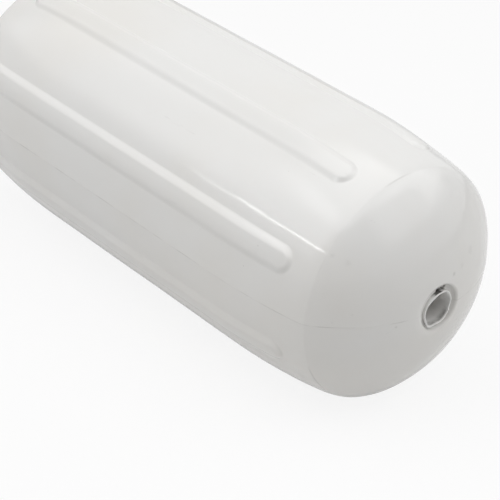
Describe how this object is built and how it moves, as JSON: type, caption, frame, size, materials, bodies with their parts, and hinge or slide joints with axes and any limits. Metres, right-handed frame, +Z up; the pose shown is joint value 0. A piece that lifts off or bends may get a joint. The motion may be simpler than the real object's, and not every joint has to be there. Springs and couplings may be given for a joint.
{
  "type": "boat fender",
  "caption": "Inflatable ribbed vinyl boat fender with domed ends, lying on its side, with a rope tube through its middle and a needle valve in the far end.",
  "frame": {"origin": "on the ground, under the middle of the fender, at the centre of the bounding box's bottom", "axes": "+X along the fender towards the end seen in the picture, +Z up, the needle valve at the -X end above the rope tube"},
  "size_m": [0.5212, 0.214, 0.2132],
  "materials": {
    "body_vinyl": "glossy white vinyl, lightly rippled and scuffed",
    "tube_vinyl": "satin off-white vinyl with a trimmed rim",
    "valve_rubber": "matt dark grey rubber"
  },
  "bodies": {
    "root": {"body": "body_vinyl", "rope_tube": "tube_vinyl", "needle_valve": "valve_rubber"}
  },
  "joints": []
}
